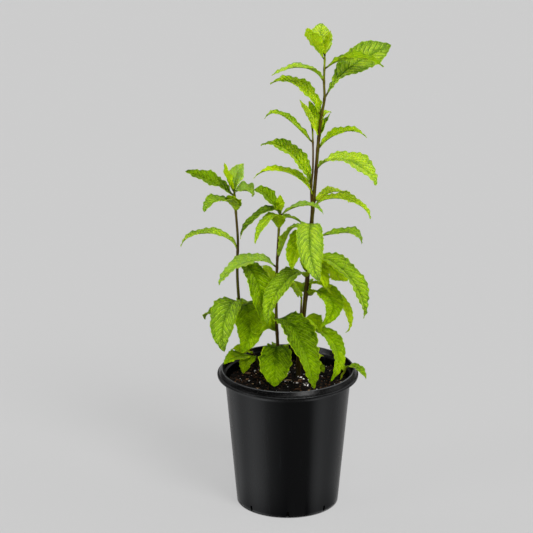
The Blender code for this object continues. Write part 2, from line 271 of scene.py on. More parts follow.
def mottleGroup():
    # soft patches at three sizes, used by the leaves, the stems, the pot, the soil and the floor
    group = bpy.data.node_groups.new("Mottle", "ShaderNodeTree")
    group.interface.new_socket("Vector", in_out="INPUT", socket_type="NodeSocketVector")
    for name in mottleSizes:
        group.interface.new_socket(name + " scale", in_out="INPUT", socket_type="NodeSocketFloat")
        group.interface.new_socket(name, in_out="OUTPUT", socket_type="NodeSocketFloat")
    start = group.nodes.new("NodeGroupInput")
    end = group.nodes.new("NodeGroupOutput")
    for name in mottleSizes:
        texture = group.nodes.new("ShaderNodeTexNoise")
        texture.inputs["Detail"].default_value = mottleDetail
        group.links.new(start.outputs["Vector"], texture.inputs["Vector"])
        group.links.new(start.outputs[name + " scale"], texture.inputs["Scale"])
        group.links.new(texture.outputs["Fac"], end.inputs[name])
    return group


mottleNodes = mottleGroup()


def mottle(tree, vector, scales):
    node = addNode(tree, "ShaderNodeGroup", node_tree=mottleNodes)
    feed(tree, node.inputs["Vector"], vector)
    for name, scale in zip(mottleSizes, scales):
        node.inputs[name + " scale"].default_value = scale
    return [node.outputs[name] for name in mottleSizes]


# Leaf material

leafLook = {
    "deep": (0.020, 0.054, 0.0004),
    "middle": (0.195, 0.345, 0.0012),
    "bright": (0.470, 0.640, 0.0030),
    "margin": (0.500, 0.680, 0.0120),
    "under": (0.330, 0.460, 0.0060),
    # partly the veins' own darker green and partly painted shade in the grooves of the side veins and the
    # midrib
    "veinAndShade": (0.090, 0.190, 0.0010),
    "stalk": (0.070, 0.070, 0.0060),
    # a painted highlight: the pale colour of the lit swellings between the side veins, also used for the
    # pale lines beside them
    "crest": (0.660, 0.820, 0.1000),
    # a painted sheen: leaves that would reflect the light are washed towards this pale bluish green
    "paintedSheen": (0.360, 0.520, 0.1900),
    "patches": (60.0, 210.0, 560.0), "cells": 560.0, "cellBand": (0.0, 0.22),
    "streaks": (3.0, 2.0, 0.6), "streakWidth": 1.1,
    # the value at which broad, middle and fine patches, cells, streaks and crests leave the tone alone,
    # and how far each one shifts it; the crests' shift is painted light and shade, lighter on the
    # swellings between the side veins and darker in the hollows
    "toneShifts": ((0.5, 0.60), (0.5, 0.45), (0.5, 0.45), (0.7, 0.10), (0.0, 1.15), (0.45, 0.30)),
    "paintedSheenShare": 0.60, "underShare": 0.45, "crestHighlightBand": (0.80, 1.5, 0.0, 0.25),
    "veinBand": (0.0, 0.07, 1.0, 0.0), "insideBand": (0.75, 0.97, 0.60, 0.0),
    "ridgeAt": 0.15, "ridgeBand": (0.0, 0.11, 1.0, 0.0), "ridgeBreaks": (0.36, 0.52), "ridgeHighlightShare": 1.5,
    "midribBand": (0.0, 0.055, 0.50, 0.0), "marginBand": (0.91, 1.0, 0.0, 0.50),
    "stalkBand": (0.0, 0.05, 1.0, 0.0),
    "roughness": 0.40, "crestGloss": -0.10, "fineRoughness": 0.16,
    # heights of the streaks, cells, fine patches and side veins in the bump
    "relief": (2.4, 0.4, 1.2, -2.6), "bump": (0.70, 0.0008),
    "shader": {
        "Specular IOR Level": 0.10, "Specular Tint": (0.92, 1.0, 0.14, 1.0),
        "Subsurface Weight": 0.80, "Subsurface Radius": (0.8, 1.0, 0.08), "Subsurface Scale": 0.0010,
    },
}


def leafMaterial():
    look = leafLook
    material, tree, shader = newMaterial("leafGreen")
    place = objectPlace(tree)
    # the pale value of a leaf is a painted sheen
    v, along, under, tone, paintedSheen, crest, quilted, veinPhase = (
        ownValue(tree, name) for name in ("leafAcross", "leafAlong", "leafUnder", "leafToneAndShade", "leafPaintedSheen",
                                          "leafCrest", "leafQuilt", "veinPhase"))
    across = maths(tree, "ABSOLUTE", v)
    broad, middle, fine = mottle(tree, place, look["patches"])
    network = addNode(tree, "ShaderNodeTexVoronoi", feature="DISTANCE_TO_EDGE")
    feed(tree, network.inputs["Vector"], place)
    network.inputs["Scale"].default_value = look["cells"]
    cells = rangeMap(tree, network.outputs["Distance"], *look["cellBand"])

    # streaks lie along the side veins: noise stretched in the leaf's own vein and width values
    streakPlace = addNode(tree, "ShaderNodeCombineXYZ")
    feed(tree, streakPlace.inputs[0], veinPhase)
    feed(tree, streakPlace.inputs[1], times(tree, v, look["streakWidth"]))
    streaks = noise(tree, streakPlace.outputs[0], *look["streaks"])
    streaked = times(tree, maths(tree, "SUBTRACT", streaks, 0.5), quilted)
    # the crests lighten the tone on the swellings and darken it in the hollows, as painted light and shade
    for part, (level, shift) in zip((broad, middle, fine, cells, streaked, crest), look["toneShifts"]):
        tone = maths(tree, "MULTIPLY_ADD", maths(tree, "SUBTRACT", part, level), shift, tone)
    # the tone, and so this colour, is partly painted light and shade: each leaf's tone makes up for the
    # light it gets, and the ramp along the leaf darkens a shaded base or tip
    colour = ramp(tree, tone, ((0.0, look["deep"]), (0.5, look["middle"]), (1.0, look["bright"])))

    # side veins run where the vein value is halfway between whole numbers, and fade towards the margin
    fromVein = maths(tree, "SUBTRACT", maths(tree, "FRACT", veinPhase), 0.5)
    inside = times(tree, rangeMap(tree, across, *look["insideBand"]), quilted)
    # the dark side vein lines are partly the veins' own colour and partly painted shade in their grooves
    veinAndShade = rangeMap(tree, maths(tree, "ABSOLUTE", fromVein), *look["veinBand"])
    veinAndShade = times(tree, veinAndShade, inside)
    # a pale line beside each side vein, broken up by the streaks, is a painted highlight on the swelling
    # there
    ridgeHighlight = rangeMap(tree, awayFrom(tree, fromVein, look["ridgeAt"]), *look["ridgeBand"])
    ridgeHighlight = times(tree, ridgeHighlight, rangeMap(tree, streaks, *look["ridgeBreaks"]))
    ridgeHighlight = times(tree, ridgeHighlight, times(tree, inside, crest))
    feed(tree, shader.inputs["Base Color"], layered(tree, colour, (
        # a painted sheen: the whole leaf washed pale by its pale value
        (times(tree, paintedSheen, look["paintedSheenShare"]), look["paintedSheen"]),
        # a painted highlight on the crests of the swellings
        (rangeMap(tree, crest, *look["crestHighlightBand"]), look["crest"]),
        # the side veins: partly their own darker green, partly painted shade in their grooves
        (veinAndShade, look["veinAndShade"]),
        # a painted highlight beside each side vein
        (times(tree, ridgeHighlight, look["ridgeHighlightShare"]), look["crest"]),
        # the midrib: partly its own darker green, partly painted shade in its groove
        (rangeMap(tree, across, *look["midribBand"]), look["veinAndShade"]),
        (rangeMap(tree, across, *look["marginBand"]), look["margin"]),
        (times(tree, under, look["underShare"]), look["under"]),
        (rangeMap(tree, along, *look["stalkBand"]), look["stalk"]))))

    rough = maths(tree, "MULTIPLY_ADD", crest, look["crestGloss"], look["roughness"])
    rough = maths(tree, "MULTIPLY_ADD", fine, look["fineRoughness"], rough)
    feed(tree, shader.inputs["Roughness"], rough)
    relief = times(tree, streaks, look["relief"][0])
    for part, height in zip((cells, fine, veinAndShade), look["relief"][1:]):
        relief = maths(tree, "MULTIPLY_ADD", part, height, relief)
    feedBump(tree, shader, relief, *look["bump"])
    setShader(shader, look["shader"])
    return material


# Leaves: each is a stalk that widens into a folded, waved and quilted blade along a curved midrib.
# Each leaf has its own phase, and its several waves take different multiples of it, so none line up.

leafShape = {
    "petiole": 0.055, "handle": 0.4, "stalk": 0.1, "stalkMost": 1.0, "opening": 0.10, "turnedBy": 0.75,
    "round": 0.8, "roundAtBase": 0.74, "roundGain": 0.26, "fold": 18.0, "phaseStep": 1.7,
    "wave": 0.042, "waves": 2.6, "waveLag": 2.0, "wavePower": 1.3, "ruffle": 0.022, "ruffleGap": 7.5,
    "thickness": 0.50, "thinEdge": 0.5, "keel": 0.45, "keelWidth": 0.8, "groove": 0.45, "grooveWidth": 0.7,
    "veinSlant": 1.02, "veinCurve": 0.014, "veinSlip": 0.35, "slipWidth": 0.12, "veinWander": 0.20,
    "wanderGap": 11.0, "shiver": 0.04, "shiverAcross": 1.9, "shiverAlong": 3.1, "crestPower": 0.42,
    "quilt": 1.60, "quiltFrom": 0.16, "quiltHalf": 9.0, "quiltEnds": 2.2, "crinkle": 0.55,
    "crinkleSize": 2.2, "lobe": 0.020, "lobeGap": 12.0, "quickLobe": 0.6, "quickGap": 0.57,
    "edgeShift": 2.4, "tooth": 0.80, "toothGap": 4.8, "toothPower": 1.3, "toothWidth": 28.0,
    "toothHalf": 5.0, "paintedShadeFrom": 0.35, "overChord": 1.12, "ringGap": 0.72, "mostRings": 128,
    "leastRings": 48, "columns": 19, "narrow": 18, "narrowColumns": 13,
}

# Points of the stem's middle line, radius at the root and at the top, greenness at the root
stems = {
    "tall": (((9.6, 15, 122), (13.8, 15, 168), (17.7, 15, 216), (22.9, 14, 277), (26.9, 13, 338),
              (30.9, 12, 390), (34.2, 11, 438), (37.6, 10, 468), (40.6, 10, 487), (40, 9, 509),
              (40.8, 9, 540)), 3.0, 1.1, 0.0),
    "side": (((27.6, 12.5, 350), (26.2, 10, 379), (27.9, 8, 404), (28, 6, 428), (27.2, 5, 456)),
             1.4, 0.9, 0.3),
    "thin": (((10.6, 13, 160), (13.4, 9.5, 200), (14.8, 10, 224), (16, 11.5, 250)), 1.5, 1.1, 0.2),
    "middle": (((-8.3, 5, 122), (-10.5, 5, 168), (-12, 4.5, 195), (-13.5, 3, 228), (-13.6, 2, 258),
                (-12.8, 1, 289), (-11.5, 0, 322), (-9.3, 0, 358)), 2.2, 1.3, 0.0),
    "left": (((-25.6, 42, 124), (-38.5, 42, 160), (-47, 40, 178), (-52.6, 37, 204), (-56.6, 35, 230),
              (-58.8, 33, 262), (-58.9, 32, 287), (-58.2, 31, 312), (-60.2, 30, 344), (-62.4, 30, 374)),
             2.2, 1.3, 0.0),
    "crown": (((22, 22, 124), (24, 21, 152), (26, 20, 158)), 1.6, 1.1, 0.95),
    "edge": (((62.9, 8, 124), (62.9, 8, 149), (66, 6, 157), (68.5, 4, 163)), 1.5, 1.0, 1.0),
}

# Height of the foot on the stem, reach to the tip (across, back, up), angle at which the leaf leaves the
# stem, angle at which it dives at the tip, width, turn, sideways bulge; then tone from deep to bright,
# partly the leaf's own green and partly painted light and shade, the tone gained from base to tip as
# painted shade where other leaves shade the base or the tip, paleness as a painted sheen, quilting,
# where the blade is widest (higher is nearer the tip), distance between its side veins, and depth of
# the lobes along its edge.
leaves = {
    "tall": (
        (522, (66, -17, 7), 40, 28, 29, 0, 0, 0.58, 0, 0, 0.6, 0.8, 5.6, 1.3),
        (487, (76, 32, 55), 61, -20, 36, 45, 0, 0.42, 0, 0.18, 1.3, 1.5, 7.2),
        (507, (-59, -21, 13), 62, 26, 21, 0, 0, 0.6, 0, 0.4, 1.2, 0.6, 5.5, 2.4),
        (466, (-58, 18, 33), 68, 38, 33, 0, 0, 0.66, 0, 0, 1.1, 0.75, 6, 1.4),
        (368, (-69, 9, 21), 80, 54, 22, 0, 0, 0.98, 0, 0, 0.6, 0.8, 5.5, 2),
        (427, (56, 6, 12), 54, 50, 24, 0, 0, 0.6, 0, 0, 0.9, 0.75, 5.5, 1.7),
        (402, (67, -33, -8), 62, 70, 36, 8, 0, 0.7, 0, 0.25, 1.2, 1.05, 6),
        (353, (66, -12, -6), 75, 78, 24, 0, 0, 0.8, 0, 0.1, 0.8, 0.9, 5.5, 1.5),
        (363, (42, 36, -11), 30, 76, 22, 0, 0, 1.1, 0, 0.15, 0.6, 1.1, 5.5),
        (321, (59, -10, -5), 8, 78, 25, 0, 0, 0.45, 0, 0.15, 0.9, 1.5, 5.5),
        (337, (9, -55, -51), 25, 84, 33, 0, 12, 0.52, -0.1, 0.2, 1.2, 0.85, 6.4),
        (326, (-22, -33, -33), 50, 84, 26, 0, 0, 0.7, 0, 0, 0.7, 0.95, 6.5),
        (268, (-46, -63, -31), 76, 90, 30, 0, 3, 0.34, 0.1, 0.05, 1.1, 0.85, 6),
        (291, (63, -35, -57), 42, 101, 36, 0, 0, 0.38, 0, 0.05, 1.1, 0.9, 6.5),
        (289, (46, 7, -24), 5, 45, 34, 58, 0, 0.9, 0, 0, 0.6, 0.8, 7),
        (284, (20, -24, -17), 25, 84, 22, 0, 0, 0.95, 0, 0, 0.5, 0.8, 6),
        (247, (16, -44, -20), 83, 88, 29, 0, -28, 0.52, 0, 0, 0.7, 0.75, 6.5),
        (260, (45, -6, -55), 52, 142, 17, 25, 0, 0.9, 0, 0, 0.7, 0.85, 6),
        (219, (20, -19, -8), 45, 55, 26, 0, 0, 0.75, 0, 0, 0.6, 0.8, 6),
        (210, (32, -37, -54), 9, 88, 23, 0, -24, 0.48, 0.1, 0, 0.7, 0.85, 6, 1.5),
        (533, (-20, -10, 39), 52, -72, 27, 22, 0, 0.9, 0, 0.05, 0.6, 1.35),
        (537, (-3, 15, 34), 84, -30, 26, 0, -5, 0.66, 0, 0.35, 1.6, 0.9),
        (537, (6, -13, 33), 82, -60, 9, 0, 0, 1.15, 0, 0.1, 0.4),
        (441, (-11, 5, 42), 80, -72, 23, -30, 0, 1.1, 0, 0.1, 0.8),
        (440, (13, 9, 27), 75, -65, 18, -20, 0, 0.52, 0, 0, 0.5),
        (461, (12, 5, 8), 72, 50, 12, 0, 0, 1.3, 0, 0.4, 0.5),
        (275, (10, 60, -25), 35, 60, 28, 0, 0, 0.8, 0, 0, 0.7, 0.8, 6),
        (300, (-14, 56, -22), 35, 60, 26, 0, 0, 0.75, 0, 0, 0.7, 0.8, 6),
        (250, (-8, 62, -25), 35, 60, 28, 0, 0, 0.8, 0, 0.05, 0.7, 0.8, 6),
    ),
    "side": (
        (437, (-55, 0, 28), 43, 55, 22, 0, 0, 0.5, 0, 0.05, 1.1, 0.65, 5.5, 2.2),
        (384, (-58, 22, 42), 71, 24, 30, -10, 0, 0.52, 0, 0, 1.1, 0.75, 6, 1.9),
        (451, (-15, -9, 39), 82, -60, 11, 25, 0, 1, 0, 0.2, 0.5),
    ),
    "thin": (
        (247, (-23, -9, 17), 66, 10, 18, 0, 0, 0.7, 0, 0.2, 0.5),
    ),
    "middle": (
        (355, (0, -4, 23), 86, -86, 11, 0, 0, 0.85, 0, 0, 0.4),
        (351, (50, -10, 5), 44, 60, 18, 0, 0, 0.5, 0, 0.35, 0.6),
        (347, (29, 14, -12), 20, 40, 15, 0, 0, 0.7, 0, 0.2, 0.6),
        (355, (-31, 12, 22), 45, 32, 22, -15, 0, 0.33, 0, 0, 0.8, 0.8, 5.5),
        (351, (-45, -20, -21), 90, 84, 19, 0, 0, 0.19, 0, 0.05, 0.6, 0.6),
        (348, (-28, -28, -21), 66, 77, 15, 0, 0, 0.72, 0, 0.15, 0.6, 0.75),
        (288, (-67, -10, -18), 48, 66, 28, -12, 0, 0.52, 0, 0.35, 0.8, 0.8, 5.5),
        (300, (27, -12, 38), 58, 40, 26, 0, 0, 0.35, 0, 0.25, 0.9, 1, 5.5),
        (222, (43, -55, -63), 41, 86, 44, 0, 2, 0.21, 0.3, 0, 0.6, 0.66, 7, 2),
        (189, (-4, -47, -31), 37, 62, 40, 0, 0, 0.18, 0.5, 0, 0.5, 1.22, 7.5, 2.4),
        (207, (-40, 8, 12), 62, 5, 35, -70, 0, 0.58, 0, 0, 0.6, 0.9, 6.5),
        (258, (-17, 28, 23), 55, 10, 14, 0, 0, 1.75, 0, 0.15, 0.5),
        (180, (6, 40, -10), 25, 45, 22, 0, 0, 0.5, 0, 0, 0.7, 0.8, 6),
        (335, (-2, -13, 23), 82, -62, 18, 0, 0, 0.62, 0, 0, 0.6, 1.1, 5.5),
    ),
    "left": (
        (282, (30, -50, -57), 28, 84, 34, 0, -5, 0.35, 0.2, 0, 0.9, 1.2, 7),
        (233, (-17, -44, -45), 43, 84, 36, 0, 7, 0.34, 0, 0.1, 1, 0.8, 7),
        (227, (2, -40, -41), 62, 84, 38, 0, -14, 0.38, 0.3, 0, 0.7, 0.9, 7, 1.3),
        (366, (-57, 5, 28), 34, -16, 28, -20, 0, 0.3, 0, 0, 0.8, 0.8, 5.5),
        (371, (-11, -4, 36), 55, -85, 16, 20, 0, 1.05, 0, 0, 0.5),
        (371, (11, 6, 32), 88, -40, 21, 50, 0, 0.8, 0, 0.6, 0.6),
        (346, (-36, -30, 10), 84, 66, 28, 0, 0, 0.45, 0, 0.15, 0.7, 0.85, 5.5),
        (370, (20, -2, -4), 41, 124, 34, 0, 0, 0.55, 0, 0.35, 0.6, 0.8, 5.5),
        (298, (-66, 0, 5), 81, 76, 22, 0, 0, 0.6, 0, 0.2, 0.8, 0.8, 5.5, 1.6),
        (198, (-46, 14, 8), 40, 84, 26, 0, 0, 0.42, 0, 0, 0.5, 1.5),
        (161, (-36, -41, 8), 20, 20, 24, -15, 0, 0.6, 0, 0, 0.6),
        (164, (-12, -23, -14), 10, 66, 20, 0, 0, 0.66, 0, 0, 0.6),
        (166, (-24, -14, 12), 48, -20, 18, -30, 0, 1.1, 0, 0, 0.6),
        (200, (-8, 50, -15), 35, 55, 24, 0, 0, 0.6, 0, 0, 0.7, 0.8, 6),
        (222, (16, 44, -14), 35, 55, 24, 0, 0, 0.6, 0, 0, 0.7, 0.8, 6),
        (346, (-7, -13, 25), 82, -62, 21, 0, 0, 0.5, 0, 0, 0.6, 1.1, 5.5),
    ),
    "crown": (
        (155, (18, 9, 13), 55, 20, 20, 0, 0, 1.1, 0, 0, 0.6),
        (156, (18, -14, 0), 35, 40, 19, 0, 0, 0.42, 0, 0, 0.6),
    ),
    "edge": (
        (162, (23, -18, -6), 55, 66, 14, 0, 0, 0.36, 0, 0.05, 0.6),
        (158, (-4, 8, 6), 60, 20, 6, 0, 0, 0.5, 0, 0, 0.4),
    ),
}

# A leaf whose row ends early takes its last values from here
plainEnd = (0.80, 5.0, 1.0)
valuesInRow = 14

shoots = {
    "tall_stem": ("tall", "side", "thin"),
    "middle_stem": ("middle",),
    "left_stem": ("left",),
    "crown_seedling": ("crown",),
    "edge_seedling": ("edge",),
}


def smoothRoute(points, steps):
    # Catmull-Rom curve through the points, with the given number of steps between two of them
    route = toArray(points)
    ends = np.vstack([2 * route[0] - route[1], route, 2 * route[-1] - route[-2]])
    share = np.linspace(0, 1, steps, endpoint=False)[None, :, None]
    a, b, c, d = (ends[k:len(route) - 1 + k][:, None, :] for k in range(4))
    cubic = 2 * b + (c - a) * share + (2 * a - 5 * b + 4 * c - d) * share**2
    curve = 0.5 * (cubic + (3 * b - a - 3 * c + d) * share**3)
    return np.vstack([curve.reshape(-1, 3), route[-1:]])


def footOn(route, height):
    return toArray([np.interp(height, route[:, 2], route[:, axis]) for axis in range(3)])


def leafMidrib(foot, reach, lift, dive, sway, along):
    # cubic curve from foot to tip: leaves at the lift angle, arrives at the dive angle, swayed sideways
    flat = math.hypot(reach[0], reach[1])
    ahead = toArray([reach[0] / flat, reach[1] / flat, 0])
    aside = toArray([ahead[1], -ahead[0], 0])
    tip = foot + reach
    handle = leafShape["handle"] * np.linalg.norm(reach)
    leaving = ahead * math.cos(lift) + toArray([0, 0, math.sin(lift)])
    arriving = ahead * math.cos(dive) - toArray([0, 0, math.sin(dive)])
    first = foot + leaving * handle + aside * sway * 2 / 3
    second = tip - arriving * handle + aside * sway * 4 / 3
    back = 1 - along
    middle = back**3 * foot + 3 * back**2 * along * first + 3 * back * along**2 * second + along**3 * tip
    heading = back**2 * (first - foot) + 2 * back * along * (second - first) + along**2 * (tip - second)
    length = np.linalg.norm(np.diff(middle, axis=0), axis=1).sum()
    return middle, unit(heading), aside, length


def leafHalf(blade, v, s, width, bulk, lobed, phase):
    # half width = a sine bulge from base to tip, with slow lobes and small teeth along each edge
    shape = leafShape
    opened = np.clip(blade / shape["opening"], 0, 1)
    shift = np.where(v < 0, 0.0, shape["edgeShift"])
    power = shape["round"] * (shape["roundAtBase"] + shape["roundGain"] * blade)
    bulge = width / 2 * np.sin(math.pi * blade**bulk)**power
    slow = np.sin(math.tau * s / shape["lobeGap"] + phase * 2.3 + shift)
    quick = np.sin(math.tau * s / (shape["lobeGap"] * shape["quickGap"]) + phase * 1.3 + 2 * shift)
    bulge = bulge * (1 + lobed * shape["lobe"] * (slow + shape["quickLobe"] * quick) * opened)
    notches = np.abs(np.sin(math.pi * s / shape["toothGap"] + phase + shift))**shape["toothPower"]
    teeth = shape["tooth"] * (0.5 - notches)
    teeth = teeth * opened * v**2 * np.clip(bulge / shape["toothHalf"], 0, 1)
    return bulge + teeth * min(1.0, shape["toothWidth"] / width)


def leafRelief(blade, v, s, half, width, quilting, gap, phase):
    # height = folded halves + long waves + a ruffled edge + swellings between the side veins
    shape = leafShape
    off = np.abs(v)
    d = off * half
    lag = np.where(v < 0, 0.0, shape["waveLag"])
    swell = shape["wave"] * width * np.sqrt(np.abs(np.sin(math.pi * blade)))
    waves = swell * np.sin(math.tau * shape["waves"] * blade + phase + lag) * off**shape["wavePower"]
    ruffle = shape["ruffle"] * width * np.sin(math.tau * s / shape["ruffleGap"] + phase * 3.1 + 2 * lag)
    # the fold is soft: nothing at the midrib, full at the margin, and rounded over a tenth of the half
    folded = half * math.sin(math.radians(shape["fold"])) * (np.sqrt(off**2 + 0.01) - 0.1) / 0.905
    # the vein value grows by one from a side vein to the next; veins of the two halves don't quite meet
    slip = shape["veinSlip"] * np.clip(v / shape["slipWidth"], 0, 1)
    veins = (s - shape["veinSlant"] * d - shape["veinCurve"] * d**2) / gap + slip
    veins = veins + shape["veinWander"] * np.sin(s / shape["wanderGap"] + phase + slip)
    shiver = np.sin(d / shape["shiverAcross"] + s / shape["shiverAlong"])
    veins = veins + shape["shiver"] * shiver + phase * 0.37
    crest = np.abs(np.sin(math.pi * veins))**shape["crestPower"]
    inner = np.clip(off / shape["quiltFrom"], 0, 1) * (1 - off**5)
    inner = inner * np.clip(np.sin(math.pi * blade) * shape["quiltEnds"], 0, 1)
    size = shape["crinkleSize"]
    crinkle = ripple(s / size, v * half / size, int(phase * 10) + 3, 2) * shape["crinkle"] * inner
    quilt = shape["quilt"] * quilting * (crest - 0.5) * inner + crinkle
    quilt = quilt * np.clip(half / shape["quiltHalf"], 0, 1)
    return folded + waves + ruffle * off**3, quilt, veins, crest * inner


def leafPart(foot, row, phase):
    # point(u, v) = midrib(u) + side * v * half(u, v) + over * height(u, v), above and below a thin wall
    shape = leafShape
    row = row + plainEnd[len(plainEnd) + len(row) - valuesInRow:]
    _, reach, lift, dive, width, turn, sway, tone, paintedShadeRamp, paintedSheen, quilting, bulk, gap, lobed = row
    rings = np.linalg.norm(reach) * shape["overChord"] / shape["ringGap"]
    rings = int(np.clip(rings, shape["leastRings"], shape["mostRings"]))
    columns = shape["columns"] if width > shape["narrow"] else shape["narrowColumns"]
    share = np.linspace(0, 1, rings)
    middle, heading, aside, length = leafMidrib(foot, toArray(reach), math.radians(lift),
                                                math.radians(dive), sway, share[:, None])
    side = unit(aside - heading * (heading @ aside)[:, None])
    over = np.cross(side, heading)
    grown = np.clip(share / shape["turnedBy"], 0, 1)
    angle = (math.radians(turn) * grown**2 * (3 - 2 * grown))[:, None]
    cos, sin = np.cos(angle), np.sin(angle)
    side, over = side * cos - over * sin, over * cos + side * sin

    v = np.linspace(-1, 1, columns)[None, :]
    u = share[:, None]
    blade = np.clip((u - shape["petiole"]) / (1 - shape["petiole"]), 0, 1)
    opened = np.clip(blade / shape["opening"], 0, 1)
    stalk = min(shape["stalkMost"], shape["stalk"] * width)
    s = blade * (length * (1 - shape["petiole"]))
    half = leafHalf(blade, v, s, width, bulk, lobed, phase)
    half = np.maximum(half, np.where(opened < 1, stalk, shape["thickness"] / 2))
    bent, quilt, veins, crest = leafRelief(blade, v, s, half, width, quilting, gap, phase)
    d = np.abs(v) * half
    groove = shape["groove"] * np.exp(-(d / shape["grooveWidth"])**2) * opened
    keel = shape["keel"] * np.exp(-(d / shape["keelWidth"])**2) * (1 - blade) * opened
    wall = opened * shape["thickness"] / 2 * (1 - shape["thinEdge"] * v**4)
    wall = wall + (1 - opened) * stalk * np.sqrt(1.02 - v**2)
    height = bent * opened + quilt - groove

    out = v * half * math.cos(math.radians(shape["fold"]))
    spread = middle[:, None, :] + side[:, None, :] * out[..., None]
    top = spread + over[:, None, :] * (height + wall)[..., None]
    under = spread + over[:, None, :] * (height + groove - wall - keel)[..., None]
    points = np.concatenate([top, under[:, ::-1]], axis=1).reshape(-1, 3)
    # the two ends are closed by quads between the upper and the lower side
    around = 2 * columns
    k = np.arange(columns - 1)
    last = (rings - 1) * around
    mouth = np.stack([k, around - 1 - k, around - 2 - k, k + 1], axis=-1)
    end = np.stack([last + k, last + k + 1, last + around - 2 - k, last + around - 1 - k], axis=-1)

    def both(values, underValues=None):
        full = np.broadcast_to(values, (rings, columns))
        low = full if underValues is None else np.broadcast_to(underValues, (rings, columns))
        return np.concatenate([full, low[:, ::-1]], axis=1).reshape(-1)

    # the tone value carries painted shade from base to tip besides the leaf's own tone, and the pale value
    # is a painted sheen
    values = {
        "leafAcross": both(v), "leafAlong": both(blade), "veinPhase": both(veins + 0.5),
        "leafCrest": both(crest * quilting, 0.0), "leafToneAndShade": both(tone + paintedShadeRamp * (u - shape["paintedShadeFrom"])),
        "leafUnder": both(0.0, 1.0), "leafPaintedSheen": both(paintedSheen), "leafQuilt": both(quilting),
    }
    return points, [ringQuads(rings, around)[:, ::-1], mouth, end], values


# Stems

stemShape = {
    "around": 16, "steps": 14, "node": 0.28, "nodeSpread": 2.6, "tipRings": 4, "tipTaper": (0.95, 0.35),
    "rib": 0.035, "ribs": 5, "ribTwist": 0.01,
}


def stemPart(route, rootRadius, topRadius, green, nodeHeights):
    # radius(z) = even taper + a swelling at each leaf's foot, with shallow ribs along the stem
    shape = stemShape
    rings, around = len(route), shape["around"]
    ahead = unit(np.gradient(route, axis=0))
    right = unit(np.cross(ahead, toArray([0, 1, 0])))
    back = np.cross(ahead, right)
    radius = np.linspace(rootRadius, topRadius, rings)
    near = np.exp(-((route[:, 2:3] - toArray(nodeHeights)[None, :]) / shape["nodeSpread"])**2)
    radius = radius + shape["node"] * near.max(axis=1)
    radius[-shape["tipRings"]:] *= np.linspace(*shape["tipTaper"], shape["tipRings"])
    turn = np.linspace(0, math.tau, around, endpoint=False)[None, :]
    ribbed = shape["rib"] * np.cos(shape["ribs"] * turn + route[:, 2:3] * shape["ribTwist"])
    wide = radius[:, None] * (1 + ribbed)
    points = (route[:, None, :] + right[:, None, :] * (wide * np.cos(turn))[..., None]
              + back[:, None, :] * (wide * np.sin(turn))[..., None]).reshape(-1, 3)
    quads = ringQuads(rings, around)
    foot = np.arange(around)[None, ::-1]
    top = ((rings - 1) * around + np.arange(around))[None, :]
    values = {"stemAlong": np.repeat(np.linspace(green, 1, rings), around),
              "stemNode": np.repeat(near.max(axis=1), around),
              "stemTurn": np.broadcast_to(turn / math.tau, (rings, around)).reshape(-1)}
    return points, [quads, foot, top], values


stemLook = {
    "brown": (0.030, 0.015, 0.0022),
    "olive": (0.058, 0.056, 0.0022),
    "brownHigh": (0.080, 0.040, 0.0090),
    "oliveHigh": (0.095, 0.090, 0.0045),
    "tip": (0.300, 0.400, 0.0060),
    "node": (0.040, 0.015, 0.0030),
    "foot": (0.010, 0.007, 0.0020),
    "patches": (330.0, 700.0, 1700.0), "drawn": 0.06, "streakBand": (0.40, 0.60),
    "highBand": (0.22, 0.50), "tipBand": (0.86, 1.0), "nodeShare": 0.5,
    "footBand": (0.152, 0.200, 0.85, 0.0), "oldBand": (0.20, 0.90, 1.0, 0.0),
    "grain": ((0.3, (0.65, 0.65, 0.65)), (0.7, (1.2, 1.2, 1.15))),
    "roughBand": (0.3, 0.7, 0.38, 0.58), "bump": (0.4, 0.0003),
    "shader": {"Specular IOR Level": 0.16, "Specular Tint": (1.0, 0.85, 0.55, 1.0)},
}


def stemMaterial():
    look = stemLook
    material, tree, shader = newMaterial("stemBark")
    place = objectPlace(tree)
    height = heightOf(tree, place)
    along = ownValue(tree, "stemAlong")
    broad, _, fine = mottle(tree, drawnOut(tree, place, look["drawn"]), look["patches"])
    streak = rangeMap(tree, broad, *look["streakBand"])
    low = mixColours(tree, streak, look["brown"], look["olive"])
    high = mixColours(tree, streak, look["brownHigh"], look["oliveHigh"])
    # the foot of a brown stem is darker from the soil up to about 50 mm above it, but not that of a young
    # green one
    darkerFoot = times(tree, rangeMap(tree, height, *look["footBand"]),
                   rangeMap(tree, along, *look["oldBand"]))
    colour = layered(tree, low, (
        (rangeMap(tree, height, *look["highBand"]), high),
        (rangeMap(tree, along, *look["tipBand"]), look["tip"]),
        (times(tree, ownValue(tree, "stemNode"), look["nodeShare"]), look["node"]),
        (darkerFoot, look["foot"])))
    colour = mixColours(tree, 1.0, colour, ramp(tree, fine, look["grain"]), "MULTIPLY")
    feed(tree, shader.inputs["Base Color"], colour)
    feed(tree, shader.inputs["Roughness"], rangeMap(tree, broad, *look["roughBand"]))
    feedBump(tree, shader, fine, *look["bump"])
    setShader(shader, look["shader"])
    return material


leafGreen = leafMaterial()
stemBark = stemMaterial()


def addPiece(name, mesh, material, node):
    # one visible piece: it rides on the part's body and stands in for the CAD node
    mesh.materials.append(material)
    piece = addObject(name, mesh)
    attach(piece, "root")
    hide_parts(node)


def addPlantPiece(name, parts, material, node, uvNames):
    points, faces, values = joinParts(parts)
    mesh = meshFrom(name, points, faces)
    for key, column in values.items():
        pointValues(mesh, key, column)
    uvFromPoints(mesh, np.stack([values[key] for key in uvNames], axis=-1))
    addPiece(name, mesh, material, node)


